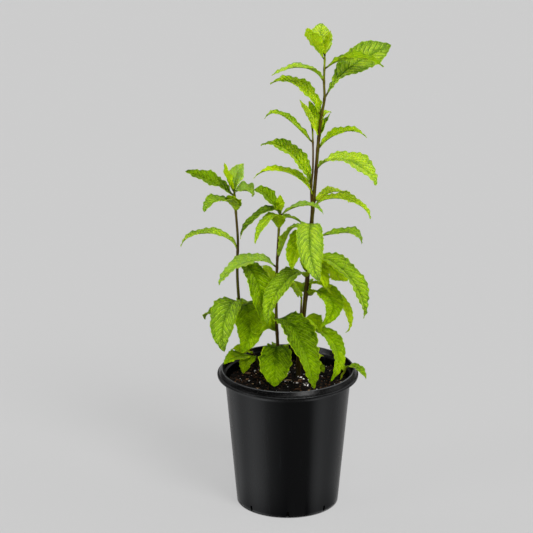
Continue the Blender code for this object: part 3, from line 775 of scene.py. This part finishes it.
mostLeavesInPiece = 11
leafNumber = 0
for nodeName, stemNames in shoots.items():
    leafParts, stemParts = [], []
    for stemName in stemNames:
        routePoints, rootRadius, topRadius, green = stems[stemName]
        route = smoothRoute(routePoints, stemShape["steps"])
        feet = [row[0] for row in leaves[stemName]]
        stemParts.append(stemPart(route, rootRadius, topRadius, green, feet))
        for row in leaves[stemName]:
            leafParts.append(leafPart(footOn(route, row[0]), row, leafNumber * leafShape["phaseStep"]))
            leafNumber += 1
    addPlantPiece(nodeName + "Bark", stemParts, stemBark, nodeName, ("stemTurn", "stemAlong"))
    for first in range(0, len(leafParts), mostLeavesInPiece):
        addPlantPiece(f"{nodeName}Leaves{first // mostLeavesInPiece + 1}",
                      leafParts[first:first + mostLeavesInPiece], leafGreen, nodeName,
                      ("leafAcross", "leafAlong"))
    print("made", nodeName, "with", len(leafParts), "leaves")


# Pot: a thin wall turned about Z, with a beaded rim, an inner ledge and drain slots round the foot

potShape = {
    "height": 165.3, "rimRadius": 82.5, "mouthRadius": 77.5, "mouthInner": 76.0, "collarRadius": 73.6,
    "footRadius": 58.9, "wallFootRadius": 60.5, "wallFootHeight": 8.0, "rimDepth": 10.5, "ledgeDrop": 8.5,
    "wall": 1.6, "floor": 2.0, "floorRadius": 56.4, "steps": 192, "edge": 0.45,
    "slots": 8, "slotWidth": 3.0, "slotHeight": 8.0, "slotDepth": 5.0, "slotClear": 3.0, "sharp": 40,
}


def wallRadius(height):
    top = potShape["height"] - potShape["rimDepth"]
    share = (height - potShape["wallFootHeight"]) / (top - potShape["wallFootHeight"])
    return potShape["wallFootRadius"] + (potShape["collarRadius"] - potShape["wallFootRadius"]) * share


def innerRadius(height):
    return wallRadius(height) - potShape["wall"]


def softened(profile, edge):
    # each corner of the profile becomes a small arc, read off as three points
    mostOfSide = 0.4
    points = toArray(profile)
    before = points[1:-1] - points[:-2]
    after = points[2:] - points[1:-1]
    reachBack, reachOn = (np.minimum(edge, np.linalg.norm(side, axis=1) * mostOfSide)[:, None]
                          for side in (before, after))
    start = points[1:-1] - unit(before) * reachBack
    end = points[1:-1] + unit(after) * reachOn
    middle = (start + 2 * points[1:-1] + end) / 4
    body = np.stack([start, middle, end], axis=1).reshape(-1, 2)
    return np.vstack([points[:1], body, points[-1:]])


def turnedPart(profile, steps):
    # every profile point is carried round the Z axis; the ends lie on the axis and close the surface
    turn = np.linspace(0, math.tau, steps, endpoint=False)[None, :]
    radius, height = profile[1:-1, 0:1], profile[1:-1, 1:2]
    grid = np.stack([radius * np.cos(turn), radius * np.sin(turn), height + 0 * turn], axis=-1)
    poles = toArray([[0, 0, profile[0, 1]], [0, 0, profile[-1, 1]]])
    return np.vstack([grid.reshape(-1, 3), poles]), turnedFaces(len(radius), steps)


def potProfile():
    # radius and height, from the middle of the floor inside over the rim to the middle of the underside
    shape = potShape
    mouth, lip, rim = shape["mouthInner"], shape["mouthRadius"], shape["rimRadius"]
    collar, foot, wallFoot = shape["collarRadius"], shape["footRadius"], shape["wallFootHeight"]
    top = shape["height"]
    rimFoot = top - shape["rimDepth"]
    ledge = top - shape["ledgeDrop"]
    return (
        (0, shape["floor"]),
        (shape["floorRadius"], shape["floor"]),
        (innerRadius(wallFoot), wallFoot),
        (innerRadius(rimFoot), rimFoot),
        (innerRadius(ledge), ledge),
        (mouth - 1.4, ledge + 0.6),
        (mouth, top - 0.5),
        (mouth + 0.5, top),
        (lip - 0.4, top),
        (lip + 0.2, top - 0.7),
        (lip + 1.2, top - 2.0),
        (rim - 2.3, top - 4.2),
        (rim - 1.9, top - 5.2),
        (rim - 0.7, top - 5.7),
        (rim - 0.1, top - 6.5),
        (rim, top - 7.3),
        (rim - 0.3, top - 8.8),
        (rim - 1.6, top - 9.4),
        (collar + 2.2, top - 9.4),
        (collar + 1.6, rimFoot - 0.4),
        (wallRadius(rimFoot - 4.0), rimFoot - 4.0),
        (wallRadius(16.0), 16.0),
        (shape["wallFootRadius"], wallFoot),
        (shape["wallFootRadius"] - 0.5, 3.2),
        (foot, 0.9),
        (foot - 1.6, 0),
        (0, 0),
    )


def potMesh():
    shape = potShape
    points, faces = turnedPart(softened(potProfile(), shape["edge"]), shape["steps"])
    pot = addObject("potWhole", meshFrom("potWhole", points, faces))
    # boxes set evenly round the foot cut the slots
    slots = bpy.data.collections.new("slotCutters")
    bpy.context.scene.collection.children.link(slots)
    outside = shape["wallFootRadius"] + shape["slotClear"]
    inside = shape["footRadius"] - shape["slotDepth"]
    middle = (outside + inside) / 2
    cutters = []
    for i in range(shape["slots"]):
        turn = math.tau * i / shape["slots"]
        place = toArray([middle * math.cos(turn), middle * math.sin(turn), (shape["slotHeight"] - 1) / 2])
        bpy.ops.mesh.primitive_cube_add(size=1, location=place * mm, rotation=(0, 0, turn))
        cutter = bpy.context.active_object
        cutter.scale = toArray([outside - inside, shape["slotWidth"], shape["slotHeight"] + 1]) * mm
        for owner in list(cutter.users_collection):
            owner.objects.unlink(cutter)
        slots.objects.link(cutter)
        cutters.append(cutter)
    cut = pot.modifiers.new("slots", "BOOLEAN")
    cut.operation = "DIFFERENCE"
    cut.operand_type = "COLLECTION"
    cut.collection = slots
    finished = bpy.data.meshes.new_from_object(pot.evaluated_get(bpy.context.evaluated_depsgraph_get()))
    for item in (pot, *cutters):
        bpy.data.objects.remove(item, do_unlink=True)
    bpy.data.collections.remove(slots)
    finished.shade_smooth()
    finished.set_sharp_from_angle(angle=math.radians(shape["sharp"]))
    return finished


potLook = {
    "base": (0.0008, 0.0009, 0.0011),
    "scuff": (0.008, 0.009, 0.010),
    "dust": (0.060, 0.055, 0.050),
    # a painted highlight: the thin bright lines along the lip and the bead
    "rimHighlight": (0.150, 0.155, 0.160),
    "patches": (28.0, 200.0, 900.0), "streaks": (130.0, 4.0, 0.6), "drawn": 0.05,
    "scuffBand": (0.56, 0.78), "scuffShare": 0.35, "dustBand": (0.52, 0.70), "dustShare": 0.25,
    "rimBand": (0.150, 0.166), "lipBand": (0.1643, 0.1651, 0.0, 0.50),
    "beadAt": 0.1593, "beadBand": (0.0, 0.0007, 0.13, 0.0), "highlightBreaks": (0.30, 0.60, 0.4, 1.0),
    "roughness": 0.20, "patchRoughness": 0.12, "scuffRoughness": 0.12, "bump": (0.10, 0.0002),
    "shader": {"Specular IOR Level": 0.085},
}


def potMaterial():
    look = potLook
    material, tree, shader = newMaterial("potPlastic")
    place = objectPlace(tree)
    height = heightOf(tree, place)
    broad, _, fine = mottle(tree, place, look["patches"])
    streaks = noise(tree, drawnOut(tree, place, look["drawn"]), *look["streaks"])
    scuffed = rangeMap(tree, streaks, *look["scuffBand"])
    dusty = times(tree, rangeMap(tree, fine, *look["dustBand"]), rangeMap(tree, height, *look["rimBand"]))
    # the moulded edges of the lip and of the bead are painted pale as thin highlight lines, broken up by
    # broad patches
    lip = rangeMap(tree, height, *look["lipBand"])
    bead = rangeMap(tree, awayFrom(tree, height, look["beadAt"]), *look["beadBand"])
    rimHighlight = times(tree, maths(tree, "MAXIMUM", lip, bead), rangeMap(tree, broad, *look["highlightBreaks"]))
    feed(tree, shader.inputs["Base Color"], layered(tree, look["base"], (
        (times(tree, scuffed, look["scuffShare"]), look["scuff"]),
        (times(tree, dusty, look["dustShare"]), look["dust"]),
        (rimHighlight, look["rimHighlight"]))))
    rough = maths(tree, "ADD", look["roughness"], times(tree, broad, look["patchRoughness"]))
    rough = maths(tree, "ADD", rough, times(tree, scuffed, look["scuffRoughness"]))
    feed(tree, shader.inputs["Roughness"], rough)
    feedBump(tree, shader, fine, *look["bump"])
    setShader(shader, look["shader"])
    return material


addPiece("potShell", potMesh(), potMaterial(), "pot")
print("made the pot")


# Soil: a lumpy bed, crumbs, white perlite and chips of bark

soilShape = {
    "drop": 17.0, "edgeDrop": 1.5, "edgeFade": 3.0, "relief": 1.6, "gap": 0.3, "rings": 84, "steps": 300,
    "lump": 1.5, "lumpSize": 3.1, "lumpSink": 0.6, "grain": 0.55, "grainSize": 0.9,
    "smallMore": 2.2, "squeeze": (0.75, 1.25), "lean": 0.45,
}
soilLevel = potShape["height"] - soilShape["drop"]


def soilHeight(x, y):
    # broad lumps as in the solid, with crumbly relief on top
    broad = np.sin(x / 15.0 + 0.6) * np.cos(y / 13.0 - 0.4)
    small = np.sin(x / 5.3 + y / 7.1 + 1.2) * np.cos(y / 4.6 - x / 9.0)
    level = soilLevel + soilShape["relief"] * (0.6 * broad + 0.4 * small)
    size, grain = soilShape["lumpSize"], soilShape["grainSize"]
    lumps = np.abs(ripple(x / size, y / size, 5)) * soilShape["lump"] - soilShape["lumpSink"]
    return level + lumps + soilShape["grain"] * ripple(x / grain, y / grain, 9, 2)


def soilMesh():
    # rings of soilHeight out to the wall, then two rings down the wall and a pole at each end
    shape = soilShape
    edgeLevel = soilLevel - shape["edgeDrop"]
    edge = innerRadius(edgeLevel) - shape["gap"]
    low = toArray([(innerRadius(potShape["wallFootHeight"]) - shape["gap"], potShape["wallFootHeight"]),
                   (potShape["floorRadius"] - shape["gap"], potShape["floor"] + shape["gap"])])
    radius = np.vstack([edge * np.linspace(0, 1, shape["rings"] + 1)[1:, None], low[:, 0:1]])
    turn = np.linspace(0, math.tau, shape["steps"], endpoint=False)[None, :]
    x, y = radius * np.cos(turn), radius * np.sin(turn)
    share = np.clip((edge - radius) / shape["edgeFade"], 0, 1)
    z = (1 - share) * edgeLevel + share * soilHeight(x, y)
    z[-len(low):] = low[:, 1:2]
    middle = float(soilHeight(toArray([0.0]), toArray([0.0]))[0])
    points = np.vstack([np.stack([x, y, z], axis=-1).reshape(-1, 3), [[0, 0, middle], [0, 0, low[1, 1]]]])
    return meshFrom("soilBed", points, turnedFaces(len(radius), shape["steps"]))


def icosahedron(rounds):
    golden = (1 + math.sqrt(5)) / 2
    points = toArray([(-1, golden, 0), (1, golden, 0), (-1, -golden, 0), (1, -golden, 0), (0, -1, golden),
                      (0, 1, golden), (0, -1, -golden), (0, 1, -golden), (golden, 0, -1), (golden, 0, 1),
                      (-golden, 0, -1), (-golden, 0, 1)])
    faces = np.array([(0, 11, 5), (0, 5, 1), (0, 1, 7), (0, 7, 10), (0, 10, 11), (1, 5, 9), (5, 11, 4),
                      (11, 10, 2), (10, 7, 6), (7, 1, 8), (3, 9, 4), (3, 4, 2), (3, 2, 6), (3, 6, 8),
                      (3, 8, 9), (4, 9, 5), (2, 4, 11), (6, 2, 10), (8, 6, 7), (9, 8, 1)])
    for _ in range(rounds):
        ab, bc, ca = (points[faces[:, i]] + points[faces[:, (i + 1) % 3]] for i in range(3))
        count = len(points)
        n = len(faces)
        points = np.vstack([points, ab, bc, ca])
        iab, ibc, ica = (count + n * i + np.arange(n) for i in range(3))
        faces = np.vstack([np.stack([faces[:, 0], iab, ica], -1), np.stack([faces[:, 1], ibc, iab], -1),
                           np.stack([faces[:, 2], ica, ibc], -1), np.stack([iab, ibc, ica], -1)])
        # points that two faces share are merged
        points, inverse = np.unique(np.round(unit(points), 6), axis=0, return_inverse=True)
        faces = inverse.reshape(-1)[faces]
    return unit(points), faces


def grainMesh(name, grain):
    # each grain is a roughened ball, squeezed along its own axes, turned and set into the soil
    draw = np.random.default_rng(grain["seed"])
    ball, faces = icosahedron(grain["rounds"])
    count = grain["count"]
    radius = (innerRadius(soilLevel) - grain["margin"]) * np.sqrt(draw.uniform(0, 1, count))
    turn = draw.uniform(0, math.tau, count)
    x, y = radius * np.cos(turn), radius * np.sin(turn)
    smallest, largest = grain["size"]
    size = smallest + (largest - smallest) * draw.uniform(0, 1, count)**soilShape["smallMore"]
    bumps = 1 + grain["rough"] * draw.uniform(-1, 1, (count, len(ball)))
    local = ball[None] * bumps[..., None]
    squeeze = draw.uniform(*soilShape["squeeze"], (count, 3))
    squeezed = size[:, None] * toArray(grain["flat"])[None] * squeeze
    local = local * squeezed[:, None, :]
    spin = draw.uniform(0, math.tau, count)[:, None]
    tilt = draw.normal(0, soilShape["lean"], count)[:, None]
    lx, ly, lz = local[..., 0], local[..., 1], local[..., 2]
    ly, lz = ly * np.cos(tilt) - lz * np.sin(tilt), ly * np.sin(tilt) + lz * np.cos(tilt)
    lx, ly = lx * np.cos(spin) - ly * np.sin(spin), lx * np.sin(spin) + ly * np.cos(spin)
    z = soilHeight(x, y) + size * grain["flat"][2] * (1 - grain["sunk"])
    points = np.stack([lx + x[:, None], ly + y[:, None], lz + z[:, None]], axis=-1).reshape(-1, 3)
    faces = (faces[None] + (np.arange(count) * len(ball))[:, None, None]).reshape(-1, 3)
    mesh = meshFrom(name, points, faces, grain["smooth"])
    pointValues(mesh, "grainTone", np.repeat(draw.uniform(0, 1, count), len(ball)))
    return mesh


soilLook = {
    "black": (0.0012, 0.0008, 0.0005),
    "brown": (0.0055, 0.0028, 0.0014),
    "perlite": (0.90, 0.89, 0.86),
    "perliteDirty": (0.36, 0.31, 0.25),
    "barkDark": (0.006, 0.003, 0.0015),
    "barkRed": (0.110, 0.048, 0.019),
    "barkPale": (0.480, 0.330, 0.190),
    "patches": (210.0, 600.0, 1300.0), "stops": (0.35, 0.75), "redBand": (0.64, 0.82, 0.0, 0.3),
    "roughBand": (0.3, 0.7, 0.72, 0.95), "bump": (0.9, 0.0008), "shader": {"Specular IOR Level": 0.12},
    "grainBump": (0.6, 0.0003), "grainShader": {"Specular IOR Level": 0.2}, "grainMottle": 0.5,
    "grainSizes": (1, 2, 5), "grainRoughBand": (0.3, 0.7), "grainRoughShifts": (-0.10, 0.08),
}

# Grains by piece: rounds splits the faces of the ball, flat squeezes it, sunk is the share in the soil,
# margin is kept free at the wall, and tones are the places of the colours for each grain's own tone
grains = {
    "soilCrumbs": {
        "count": 2600, "size": (0.5, 1.9), "flat": (1.0, 0.8, 0.7), "rough": 0.22, "rounds": 0,
        "seed": 11, "sunk": 0.55, "margin": 2.5, "smooth": False, "finish": "peatCrumb",
        "roughness": 0.85, "patches": 500.0, "tones": ((0.0, "black"), (0.75, "brown"), (1.0, "barkRed")),
    },
    "perliteGrains": {
        "count": 170, "size": (0.35, 1.35), "flat": (1.0, 0.9, 0.8), "rough": 0.16, "rounds": 1,
        "seed": 12, "sunk": 0.35, "margin": 4.0, "smooth": True, "finish": "perliteGrain",
        "roughness": 0.75, "patches": 700.0,
        "tones": ((0.0, "perliteDirty"), (0.35, "perlite"), (1.0, "perlite")),
    },
    "barkChips": {
        "count": 130, "size": (1.4, 5.0), "flat": (1.0, 0.45, 0.22), "rough": 0.16, "rounds": 0,
        "seed": 13, "sunk": 0.2, "margin": 5.0, "smooth": False, "finish": "barkChip",
        "roughness": 0.80, "patches": 400.0,
        "tones": ((0.0, "barkDark"), (0.62, "barkRed"), (1.0, "barkPale")),
    },
}


def soilMaterial():
    look = soilLook
    material, tree, shader = newMaterial("pottingMix")
    broad, middle, fine = mottle(tree, objectPlace(tree), look["patches"])
    colour = ramp(tree, broad, ((look["stops"][0], look["black"]), (look["stops"][1], look["brown"])))
    colour = mixColours(tree, rangeMap(tree, middle, *look["redBand"]), colour, look["barkRed"])
    feed(tree, shader.inputs["Base Color"], colour)
    feed(tree, shader.inputs["Roughness"], rangeMap(tree, broad, *look["roughBand"]))
    feedBump(tree, shader, fine, *look["bump"])
    setShader(shader, look["shader"])
    return material


def grainMaterial(grain):
    look = soilLook
    material, tree, shader = newMaterial(grain["finish"])
    sizes = [grain["patches"] * size for size in look["grainSizes"]]
    broad, _, fine = mottle(tree, objectPlace(tree), sizes)
    tone = times(tree, maths(tree, "SUBTRACT", broad, 0.5), look["grainMottle"])
    tone = maths(tree, "ADD", ownValue(tree, "grainTone"), tone)
    stops = [(place, look[colour]) for place, colour in grain["tones"]]
    feed(tree, shader.inputs["Base Color"], ramp(tree, tone, stops))
    ends = [grain["roughness"] + shift for shift in look["grainRoughShifts"]]
    feed(tree, shader.inputs["Roughness"], rangeMap(tree, fine, *look["grainRoughBand"], *ends))
    feedBump(tree, shader, fine, *look["grainBump"])
    setShader(shader, look["grainShader"])
    return material


addPiece("soilBed", soilMesh(), soilMaterial(), "soil")
for grainName, grain in grains.items():
    addPiece(grainName, grainMesh(grainName, grain), grainMaterial(grain), "soil")
print("made the soil")


# Floor, light and camera

studio = {
    "floorSize": 30.0, "floorColour": (0.133, 0.133, 0.133), "floorShades": (0.985, 1.015),
    "floorPatches": (2.0, 10.0, 40.0), "floorGlow": 0.46, "glowEdge": 1.5,
    "floorShader": {"Roughness": 0.9, "Specular IOR Level": 0.0},
    "worldStrength": 0.10, "worldColour": (1.0, 1.0, 1.0), "lampPlace": (0.0, 0.0, 2.0),
    "fov": 12.0, "pitch": 19.0, "distance": 2922.0, "target": (-24.9, 0.0, 290.0), "seesTo": 50.0,
    "sensor": 36.0,
}

# Name, turn from the camera's side about Z to the right, height above the floor, spread, strength
softLights = (
    ("keyLight", 35.0, 46.0, 24.0, 2.40),
    ("frontLight", 0.0, 24.0, 40.0, 0.90),
    ("leftLight", -66.0, 3.0, 26.0, 2.60),
    ("rightLight", 84.0, 18.0, 40.0, 0.80),
    ("leftBackLight", -130.0, 38.0, 50.0, 0.50),
    ("rightBackLight", 135.0, 34.0, 50.0, 0.50),
)


# Pale cards lie on the floor beside the pot, and its wall mirrors them as two soft upright sheens.
# Each has its strength, then the directions that the wall faces there, in degrees, and the glow at each.
sheenCards = {
    "away": (0.0, 25.0, 60.0, 330.0), "share": (0.45, 0.75, 1.0, 1.0), "height": 0.6, "steps": 49,
    "colour": (0.96, 0.98, 1.0), "shader": {"Base Color": (0.0, 0.0, 0.0, 1.0), "Specular IOR Level": 0.0},
    "sheenCardLeft": (3.5, (-66, -60, -50, -44, -38, -32, -27, -20, -10, 0),
                      (0.28, 0.32, 0.39, 0.65, 0.96, 1.0, 0.94, 0.46, 0.28, 0.14)),
    "sheenCardRight": (2.8, (20, 23, 27, 30, 35, 41, 48, 56, 66),
                       (0.10, 0.22, 0.79, 0.94, 1.0, 0.64, 0.41, 0.32, 0.26)),
}


def addFloor():
    half = studio["floorSize"] / 2 / mm
    points = toArray([(-half, -half, 0), (half, -half, 0), (half, half, 0), (-half, half, 0)])
    mesh = meshFrom("studioFloor", points, np.array([[0, 1, 2, 3]]), False)
    material, tree, shader = newMaterial("floorPaper")
    place = objectPlace(tree)
    broad, _, _ = mottle(tree, place, studio["floorPatches"])
    stops = [(end, tuple(shade * c for c in studio["floorColour"]))
             for end, shade in enumerate(studio["floorShades"])]
    feed(tree, shader.inputs["Base Color"], ramp(tree, broad, stops))
    # the floor is a light table: its own soft glow thins the shadows on it, but stays dark under the pot
    away = addNode(tree, "ShaderNodeVectorMath", operation="LENGTH")
    feed(tree, away.inputs[0], place)
    foot = potShape["footRadius"] * mm
    lit = rangeMap(tree, away.outputs["Value"], foot, foot + studio["glowEdge"] * mm)
    feed(tree, shader.inputs["Emission Color"], ramp(tree, lit, ((0, (0, 0, 0)), (1, (1, 1, 1)))))
    setShader(shader, {**studio["floorShader"], "Emission Strength": studio["floorGlow"]})
    mesh.materials.append(material)
    addObject("studioFloor", mesh)


def addSheenCard(name, strength, facing, glows):
    # point(n, d) = foot * wayOut(n) + d * wayOut(2n): what the pot's wall mirrors where it faces n
    turn = np.radians(np.linspace(facing[0], facing[-1], sheenCards["steps"]))
    glow = np.interp(np.degrees(turn), facing, glows)
    foot, away = potShape["footRadius"], toArray(sheenCards["away"])[:, None]
    x = foot * np.sin(turn) + away * np.sin(2 * turn)
    y = -foot * np.cos(turn) - away * np.cos(2 * turn)
    points = np.stack([x, y, np.full(x.shape, sheenCards["height"])], axis=-1).reshape(-1, 3)
    rows, steps = x.shape
    k = (np.arange(rows - 1)[:, None] * steps + np.arange(steps - 1)[None, :]).reshape(-1)
    mesh = meshFrom(name, points, np.stack([k, k + steps, k + steps + 1, k + 1], axis=-1), False)
    pointValues(mesh, "cardGlow", toArray(sheenCards["share"])[:, None] * glow)
    material, tree, shader = newMaterial(name)
    glowing = ramp(tree, ownValue(tree, "cardGlow"), ((0, (0, 0, 0)), (1, sheenCards["colour"])))
    feed(tree, shader.inputs["Emission Color"], glowing)
    setShader(shader, {**sheenCards["shader"], "Emission Strength": strength})
    mesh.materials.append(material)
    card = addObject(name, mesh)
    # only a sheen: it is neither seen itself nor lights or shades anything else
    card.visible_camera = card.visible_diffuse = card.visible_shadow = card.visible_transmission = False


def addSoftLight(name, turn, height, spread, strength):
    # a far, wide light: even over the whole floor, with soft shadows
    lamp = bpy.data.lights.new(name, "SUN")
    lamp.angle = math.radians(spread)
    lamp.energy = strength
    item = addObject(name, lamp)
    item.location = studio["lampPlace"]
    item.rotation_euler = (math.radians(90.0 - height), 0.0, math.radians(turn))


def addCamera():
    lens = bpy.data.cameras.new("camera")
    lens.sensor_width = lens.sensor_height = studio["sensor"]
    lens.sensor_fit = "HORIZONTAL"
    lens.lens = lens.sensor_width / 2 / math.tan(math.radians(studio["fov"] / 2))
    lens.clip_end = studio["seesTo"]
    item = addObject("camera", lens)
    pitch = math.radians(studio["pitch"])
    back = toArray([0, math.cos(pitch), -math.sin(pitch)])
    item.location = (toArray(studio["target"]) - back * studio["distance"]) * mm
    item.rotation_euler = (math.pi / 2 - pitch, 0, 0)
    bpy.context.scene.camera = item


def addWorld():
    world = bpy.data.worlds.new("studioAir")
    world.use_nodes = True
    background = world.node_tree.nodes["Background"]
    background.inputs["Color"].default_value = (*studio["worldColour"], 1.0)
    background.inputs["Strength"].default_value = studio["worldStrength"]
    bpy.context.scene.world = world


addFloor()
for cardName in ("sheenCardLeft", "sheenCardRight"):
    addSheenCard(cardName, *sheenCards[cardName])
addWorld()
for softLight in softLights:
    addSoftLight(*softLight)
addCamera()
bpy.context.scene.view_settings.view_transform = "Standard"
bpy.context.scene.view_settings.look = "None"
print("made the floor, lights and camera")
